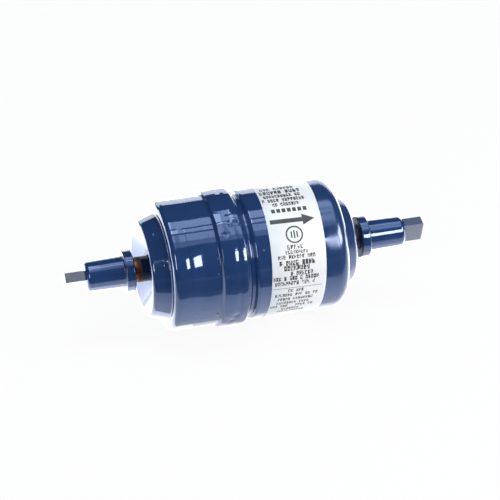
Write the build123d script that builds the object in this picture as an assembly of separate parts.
from build123d import *
import math
import os

# Brazed-in filter drier for a refrigerant liquid line, in millimetres.
#
# Two cups pressed from steel sheet meet at one girth weld. The outlet cup holds a bed of
# desiccant between pads, screens and perforated plates. A groove rolled into that cup keeps
# the inlet plate from backing out, and a conical spring holds the bed tight. A copper stub is
# brazed into a steel collar at each end, under a push-on dust cap.
#
# +X is the flow, inlet to outlet, and the axis of the body. +Z is up. The origin is on the
# axis, half way between the tips of the two caps.

# ---- driving dimensions: cups ------------------------------------------------------------
BODY_OD = 45.0
WALL = 1.1                    # pressed sheet
INLET_LENGTH = 27.9           # from the joint to the corner of the inlet rim
OUTLET_LENGTH = 48.0          # from the joint to the corner of the outlet rim
LAP_LENGTH = 2.4              # lip of the inlet cup that slips inside the outlet cup
LAP_SLOPE = 1.6               # run in which the inlet cup's wall sets in to that lip
LAP_FOOT = 0.5                # from the foot of that slope to the joint
LAP_RADIUS = 0.6

INLET_STEP = 7.0              # length of the stepped-in band, to the corner of its rim
INLET_BAND_OD = 37.2          # at the root of the band
INLET_RIM_OD = 32.6           # at the corner of its rim
INLET_RIM_RADIUS = 1.5
INLET_SHOULDER_RADIUS = 2.2
OUTLET_STEP = 6.15
OUTLET_BAND_OD = 34.3
OUTLET_RIM_OD = 26.8
OUTLET_RIM_RADIUS = 2.6
OUTLET_SHOULDER_RADIUS = 4.8
ROOT_RADIUS = 0.5             # inside corner between band and shoulder
DISH_DEPTH = 5.25             # from the corner of the rim in to the flat under the collar
DISH_RADIUS = 1.5             # corner between the dished wall and that flat
SEAT_MARGIN = 0.6             # flat left round the collar

# ---- girth weld and rolled groove --------------------------------------------------------
WELD_WIDTH = 9.6
WELD_HEIGHT = 1.6
WELD_DIP = 0.4                # hollow between its two passes
GROOVE_GAP = 0.1              # from the weld's toe to the groove's lip
GROOVE_DEPTH = 1.5
GROOVE_LIP_RADIUS = 1.3
GROOVE_ROOT_RADIUS = 0.9

# ---- line stubs and their collars --------------------------------------------------------
TUBE_OD = 6.35                # line that is brazed into the stub
SOCKET_CLEARANCE = 0.055      # on the radius
SOCKET_DEPTH = 8.0
STUB_OD = 8.8
STUB_BORE = 4.8
STUB_LENGTH = 21.2            # from the collar's face to the mouth
INLET_STUB_TAIL = 4.0         # past the collar's inner end
OUTLET_STUB_GAP = 0.5         # from the outlet plate to the outlet stub's tail
MOUTH_CHAMFER = 0.3
COLLAR_OD = 15.1
COLLAR_THICKNESS = 1.4
COLLAR_EDGE_RADIUS = 0.4
SPIGOT_OD = 11.6
SPIGOT_PROUD = 0.6            # past the inside of the sheet
BRAZE_LEG = 0.9

# ---- dust caps ---------------------------------------------------------------------------
CAP_GRIP_CLEARANCE = 0.05     # on the radius, over the stub
CAP_SKIRT_GAP = 6.4           # from the collar's face to the open end
CAP_END_GAP = 0.4             # from the stub's mouth to the inside of the closed end
CAP_END_WALL = 1.5
CAP_END_OD = 10.5
CAP_FOOT_OD = 11.1            # behind the flange
CAP_FLANGE_OD = 14.7
CAP_FLANGE_LENGTH = 3.25
CAP_END_RADIUS = 1.6
CAP_EDGE_RADIUS = 0.5
TAB_WIDTH = 8.2
TAB_THICKNESS = 3.4
TAB_LENGTH = 7.1
TAB_CORNER_RADIUS = 0.6
INLET_TAB_TURN = 140.0        # degrees about +X from +Y to the tab's width
OUTLET_TAB_TURN = 108.0

# ---- label -------------------------------------------------------------------------------
LABEL_FROM_JOINT = 13.15      # from the joint to its inlet edge
LABEL_WIDTH = 19.3
LABEL_THICKNESS = 0.1

# ---- filter pack -------------------------------------------------------------------------
PLATE_THICKNESS = 1.0
PLATE_CLEARANCE = 0.2         # on the radius, in the cup
SUPPORT_INSET = 1.6           # how much less the outlet plate's radius is than the cup's
HOLE_DIAMETER = 3.4
HOLE_PITCH = 6.2
HOLE_RINGS = 2
SCREEN_THICKNESS = 0.35
INLET_PAD_THICKNESS = 2.0
OUTLET_PAD_THICKNESS = 4.0
SPRING_WIRE = 1.8
SPRING_TURNS = 5.5
SPRING_SEAT_CLEARANCE = 0.2   # on the radius, round the collar's spigot
SPRING_PLATE_RADIUS = 16.8    # mean, where it meets the plate
DIFFUSER_WALL = 0.5
DIFFUSER_LENGTH = 13.0
DIFFUSER_HOLE = 1.8
DIFFUSER_ROWS = 3
DIFFUSER_ROW_PITCH = 2.6
DIFFUSER_HOLES_PER_ROW = 6

# ---- worked out from the above -----------------------------------------------------------
BODY_R = BODY_OD / 2
INSIDE_R = BODY_R - WALL
JOINT_X = (INLET_LENGTH - OUTLET_LENGTH) / 2
INLET_RIM_X = JOINT_X - INLET_LENGTH
OUTLET_RIM_X = JOINT_X + OUTLET_LENGTH
INLET_SEAT_X = INLET_RIM_X + DISH_DEPTH       # outside of the sheet, under the collar
OUTLET_SEAT_X = OUTLET_RIM_X - DISH_DEPTH
INLET_SPIGOT_END_X = INLET_SEAT_X + WALL + SPIGOT_PROUD
SPIGOT_R = SPIGOT_OD / 2
SEAT_R = COLLAR_OD / 2 + SEAT_MARGIN
STUB_R = STUB_OD / 2
SOCKET_R = TUBE_OD / 2 + SOCKET_CLEARANCE

# a shoulder's bend is as wide as asked, or as its wall leaves over the root's bend
INLET_SHOULDER_BEND = min(INLET_SHOULDER_RADIUS, BODY_R - INLET_BAND_OD / 2 - ROOT_RADIUS)
OUTLET_SHOULDER_BEND = min(OUTLET_SHOULDER_RADIUS, BODY_R - OUTLET_BAND_OD / 2 - ROOT_RADIUS)

GROOVE_BENDS = GROOVE_LIP_RADIUS + GROOVE_ROOT_RADIUS
GROOVE_HALF = math.sqrt(GROOVE_BENDS**2 - (GROOVE_BENDS - GROOVE_DEPTH) ** 2)
WELD_TOE_X = JOINT_X + WELD_WIDTH / 2
GROOVE_X = WELD_TOE_X + GROOVE_GAP + GROOVE_HALF

SUPPORT_R = INSIDE_R - SUPPORT_INSET
SHOULDER_X = OUTLET_RIM_X - OUTLET_STEP - OUTLET_SHOULDER_BEND
SHOULDER_R = BODY_R - OUTLET_SHOULDER_BEND
SHOULDER_INSIDE = OUTLET_SHOULDER_BEND - WALL
PACK_END_X = SHOULDER_X + math.sqrt(SHOULDER_INSIDE**2 - max(SUPPORT_R - SHOULDER_R, 0) ** 2)
OUTLET_SCREEN_X = PACK_END_X - PLATE_THICKNESS
OUTLET_PAD_X = OUTLET_SCREEN_X - SCREEN_THICKNESS
BED_END_X = OUTLET_PAD_X - OUTLET_PAD_THICKNESS
PLATE_X = GROOVE_X + GROOVE_HALF              # inlet face of the plate behind the groove
INLET_SCREEN_X = PLATE_X + PLATE_THICKNESS
INLET_PAD_X = INLET_SCREEN_X + SCREEN_THICKNESS
BED_X = INLET_PAD_X + INLET_PAD_THICKNESS


def turned(*lines):
    """The solid that a closed half section makes when it turns about the flow axis."""
    return revolve(make_face(Curve() + list(lines)), Axis.X)


def ring(x_from, x_to, outer, inner=0.0):
    """A plain ring, or a disc, between two stations."""
    middle = Pos((x_from + x_to) / 2, (outer + inner) / 2)
    return revolve(middle * Rectangle(abs(x_to - x_from), outer - inner), Axis.X)


# ---- cups --------------------------------------------------------------------------------
def cup(outline):
    """A cup of even wall, pressed to the outer line given from left to right along X."""
    section = offset(outline, WALL, kind=Kind.INTERSECTION, side=Side.RIGHT, closed=True)
    return revolve(make_face(section.edges()), Axis.X)


def inlet_shell():
    """Left cup: dished end, conical band, shoulder, plain barrel and the lip under the weld."""
    band_x = INLET_RIM_X + INLET_STEP
    outline = FilletPolyline(
        (INLET_SEAT_X, SPIGOT_R),
        (INLET_SEAT_X, SEAT_R),
        (INLET_RIM_X, INLET_RIM_OD / 2),
        (band_x, INLET_BAND_OD / 2),
        (band_x, BODY_R),
        (JOINT_X - LAP_FOOT - LAP_SLOPE, BODY_R),
        (JOINT_X - LAP_FOOT, INSIDE_R),
        (JOINT_X + LAP_LENGTH, INSIDE_R),
        radius=[
            DISH_RADIUS, INLET_RIM_RADIUS, ROOT_RADIUS, INLET_SHOULDER_BEND, LAP_RADIUS, LAP_RADIUS,
        ],
    )
    return cup(outline)


def groove_line():
    """The rolled groove, three arcs tangent to each other and to the barrel."""
    lean = math.asin(GROOVE_HALF / GROOVE_BENDS)

    def on_lip(side, turn):
        run = GROOVE_HALF - GROOVE_LIP_RADIUS * math.sin(turn)
        return (GROOVE_X + side * run, BODY_R - GROOVE_LIP_RADIUS * (1 - math.cos(turn)))

    root = (GROOVE_X, BODY_R - GROOVE_DEPTH)
    return [
        ThreePointArc(on_lip(-1, 0), on_lip(-1, lean / 2), on_lip(-1, lean)),
        ThreePointArc(on_lip(-1, lean), root, on_lip(1, lean)),
        ThreePointArc(on_lip(1, lean), on_lip(1, lean / 2), on_lip(1, 0)),
    ]


def outlet_shell():
    """Right cup: plain edge at the weld, rolled groove, long barrel, round shoulder and end."""
    band_x = OUTLET_RIM_X - OUTLET_STEP
    groove = groove_line()
    start = Line((JOINT_X, BODY_R), groove[0] @ 0)
    end = FilletPolyline(
        groove[-1] @ 1,
        (band_x, BODY_R),
        (band_x, OUTLET_BAND_OD / 2),
        (OUTLET_RIM_X, OUTLET_RIM_OD / 2),
        (OUTLET_SEAT_X, SEAT_R),
        (OUTLET_SEAT_X, SPIGOT_R),
        radius=[OUTLET_SHOULDER_BEND, ROOT_RADIUS, OUTLET_RIM_RADIUS, DISH_RADIUS],
    )
    return cup(Wire([start.edge(), *(arc.edge() for arc in groove), *end.edges()]))


def girth_weld():
    """Two passes laid side by side over the joint, with their root down to the lip."""
    toe_in = (JOINT_X - WELD_WIDTH / 2, BODY_R)
    toe_out = (WELD_TOE_X, BODY_R)
    crest = BODY_R + WELD_HEIGHT
    dip = (JOINT_X, crest - WELD_DIP)
    bead = turned(
        ThreePointArc(toe_in, (JOINT_X - WELD_WIDTH / 4, crest), dip),
        ThreePointArc(dip, (JOINT_X + WELD_WIDTH / 4, crest), toe_out),
        Line(toe_out, toe_in),
    )
    root = ring(JOINT_X - LAP_FOOT - LAP_SLOPE - LAP_RADIUS, JOINT_X, BODY_R, INSIDE_R)
    return bead + (root - inlet_shell())


# ---- stubs, collars and braze ------------------------------------------------------------
def stub(seat_x, out, tail_x):
    """Copper stub with a socket for the line at its mouth and a stop at the socket's foot."""
    face_x = seat_x + out * COLLAR_THICKNESS
    mouth_x = face_x + out * STUB_LENGTH
    stop_x = mouth_x - out * SOCKET_DEPTH
    return turned(
        Polyline(
            (tail_x, STUB_BORE / 2),
            (tail_x, STUB_R),
            (mouth_x, STUB_R),
            (mouth_x, SOCKET_R + MOUTH_CHAMFER),
            (mouth_x - out * MOUTH_CHAMFER, SOCKET_R),
            (stop_x, SOCKET_R),
            (stop_x, STUB_BORE / 2),
            close=True,
        )
    )


def collar(seat_x, out):
    """Turned steel collar: a flange on the dished end, a spigot through its hole."""
    face_x = seat_x + out * COLLAR_THICKNESS
    inner_x = seat_x - out * (WALL + SPIGOT_PROUD)
    outer = FilletPolyline(
        (face_x, STUB_R), (face_x, COLLAR_OD / 2), (seat_x, COLLAR_OD / 2),
        radius=COLLAR_EDGE_RADIUS,
    )
    inner = Polyline(
        (seat_x, COLLAR_OD / 2), (seat_x, SPIGOT_R), (inner_x, SPIGOT_R), (inner_x, STUB_R), (face_x, STUB_R)
    )
    return turned(outer, inner)


def braze(seat_x, out):
    """Hollow fillet of braze alloy in the corner between collar and stub."""
    face_x = seat_x + out * COLLAR_THICKNESS
    foot = (face_x, STUB_R + BRAZE_LEG)
    tip = (face_x + out * BRAZE_LEG, STUB_R)
    sag = BRAZE_LEG * (1 - math.sqrt(0.5))
    return turned(
        ThreePointArc(foot, (face_x + out * sag, STUB_R + sag), tip),
        Polyline(tip, (face_x, STUB_R), foot),
    )


# ---- dust caps ---------------------------------------------------------------------------
def cap(seat_x, out, tab_turn):
    """Moulded cap: a sleeve with a flanged foot, a domed end and a flat tab to pull."""
    face_x = seat_x + out * COLLAR_THICKNESS
    open_x = face_x + out * CAP_SKIRT_GAP
    foot_x = open_x + out * CAP_FLANGE_LENGTH
    inside_x = face_x + out * (STUB_LENGTH + CAP_END_GAP)
    end_x = inside_x + out * CAP_END_WALL
    bore_r = STUB_R + CAP_GRIP_CLEARANCE
    outer = FilletPolyline(
        (open_x, bore_r),
        (open_x, CAP_FLANGE_OD / 2),
        (foot_x, CAP_FLANGE_OD / 2),
        (foot_x, CAP_FOOT_OD / 2),
        (end_x, CAP_END_OD / 2),
        (end_x, 0),
        radius=[CAP_EDGE_RADIUS, CAP_EDGE_RADIUS, CAP_EDGE_RADIUS / 2, CAP_END_RADIUS],
    )
    inner = Polyline((end_x, 0), (inside_x, 0), (inside_x, bore_r), (open_x, bore_r))
    root = CAP_END_WALL / 2
    tab = Box(TAB_LENGTH + root, TAB_WIDTH, TAB_THICKNESS)
    tip_corners = tab.edges().filter_by(Axis.Z).sort_by(Axis.X)
    tab = fillet(tip_corners[-2:] if out > 0 else tip_corners[:2], TAB_CORNER_RADIUS)
    middle_x = end_x + out * (TAB_LENGTH - root) / 2
    return turned(outer, inner) + Pos(middle_x, 0, 0) * Rot(tab_turn, 0, 0) * tab


# ---- label -------------------------------------------------------------------------------
def label():
    """Printed wrap, once round the outlet cup."""
    start = JOINT_X + LABEL_FROM_JOINT
    return ring(start, start + LABEL_WIDTH, BODY_R + LABEL_THICKNESS, BODY_R)


# ---- filter pack -------------------------------------------------------------------------
def perforated(x_from, radius):
    """Steel plate with a hole in the middle and rings of six, twelve and so on about it."""
    plate = ring(x_from, x_from + PLATE_THICKNESS, radius)
    face = Plane(origin=(x_from + PLATE_THICKNESS / 2, 0, 0), z_dir=(1, 0, 0))
    places = [Location()]
    for count in range(1, HOLE_RINGS + 1):
        places += PolarLocations(count * HOLE_PITCH, 6 * count).locations
    return plate - [face * place * Cylinder(HOLE_DIAMETER / 2, 2 * PLATE_THICKNESS) for place in places]


def inlet_diffuser():
    """Thin drilled cup pressed on the inlet stub's tail, which breaks up the incoming jet."""
    end_x = INLET_SPIGOT_END_X + DIFFUSER_LENGTH
    outer_r = STUB_R + DIFFUSER_WALL
    shape = ring(INLET_SPIGOT_END_X, end_x, outer_r) - ring(INLET_SPIGOT_END_X, end_x - DIFFUSER_WALL, STUB_R)
    hole = Pos(0, 0, outer_r) * Cylinder(DIFFUSER_HOLE / 2, outer_r)
    for row in range(DIFFUSER_ROWS):
        row_x = INLET_SPIGOT_END_X + INLET_STUB_TAIL + (row + 0.5) * DIFFUSER_ROW_PITCH
        for number in range(DIFFUSER_HOLES_PER_ROW):
            turn = 360 / DIFFUSER_HOLES_PER_ROW * (number + row / 2)
            shape -= Pos(row_x, 0, 0) * Rot(turn, 0, 0) * hole
    return shape


def core_spring():
    """Conical spring with ground ends, from round the inlet collar's spigot to the plate."""
    seat_x = INLET_SEAT_X + WALL
    height = PLATE_X - seat_x
    small_r = SPIGOT_R + SPRING_SEAT_CLEARANCE + SPRING_WIRE / 2
    widening = math.degrees(math.atan((SPRING_PLATE_RADIUS - small_r) / height))
    path = Helix(height / SPRING_TURNS, height, small_r, center=(seat_x, 0, 0), direction=(1, 0, 0),
                 cone_angle=widening)
    section = Plane(origin=path @ 0, z_dir=path % 0) * Circle(SPRING_WIRE / 2)
    coil = sweep(section, path=path, is_frenet=True)
    return coil & ring(seat_x, PLATE_X, BODY_R)


def in_bed(x_from, x_to):
    """A slice of the outlet cup's inside, as wide as the cup and rounded by its shoulder."""
    end_x = SHOULDER_X + SHOULDER_INSIDE
    inside = turned(
        Polyline((end_x, SHOULDER_R), (end_x, 0), (x_from, 0), (x_from, INSIDE_R), (SHOULDER_X, INSIDE_R)),
        CenterArc((SHOULDER_X, SHOULDER_R), SHOULDER_INSIDE, 90, -90),
    )
    return inside & ring(x_from, x_to, BODY_R)


PIECES = {
    "inlet_shell": inlet_shell(),
    "outlet_shell": outlet_shell(),
    "girth_weld": girth_weld(),
    "inlet_collar": collar(INLET_SEAT_X, -1),
    "outlet_collar": collar(OUTLET_SEAT_X, 1),
    "inlet_stub": stub(INLET_SEAT_X, -1, INLET_SPIGOT_END_X + INLET_STUB_TAIL),
    "outlet_stub": stub(OUTLET_SEAT_X, 1, PACK_END_X + OUTLET_STUB_GAP),
    "inlet_braze": braze(INLET_SEAT_X, -1),
    "outlet_braze": braze(OUTLET_SEAT_X, 1),
    "inlet_cap": cap(INLET_SEAT_X, -1, INLET_TAB_TURN),
    "outlet_cap": cap(OUTLET_SEAT_X, 1, OUTLET_TAB_TURN),
    "label": label(),
    "inlet_diffuser": inlet_diffuser(),
    "core_spring": core_spring(),
    "pressure_plate": perforated(PLATE_X, INSIDE_R - PLATE_CLEARANCE),
    "inlet_screen": ring(INLET_SCREEN_X, INLET_PAD_X, INSIDE_R - PLATE_CLEARANCE),
    "inlet_pad": in_bed(INLET_PAD_X, BED_X),
    "desiccant_bed": in_bed(BED_X, BED_END_X),
    "outlet_pad": in_bed(BED_END_X, OUTLET_PAD_X),
    "outlet_screen": ring(OUTLET_PAD_X, OUTLET_SCREEN_X, SUPPORT_R),
    "support_plate": perforated(OUTLET_SCREEN_X, SUPPORT_R),
}

os.makedirs("parts", exist_ok=True)
for node, solid in PIECES.items():
    export_step(solid, f"parts/{node}.step")
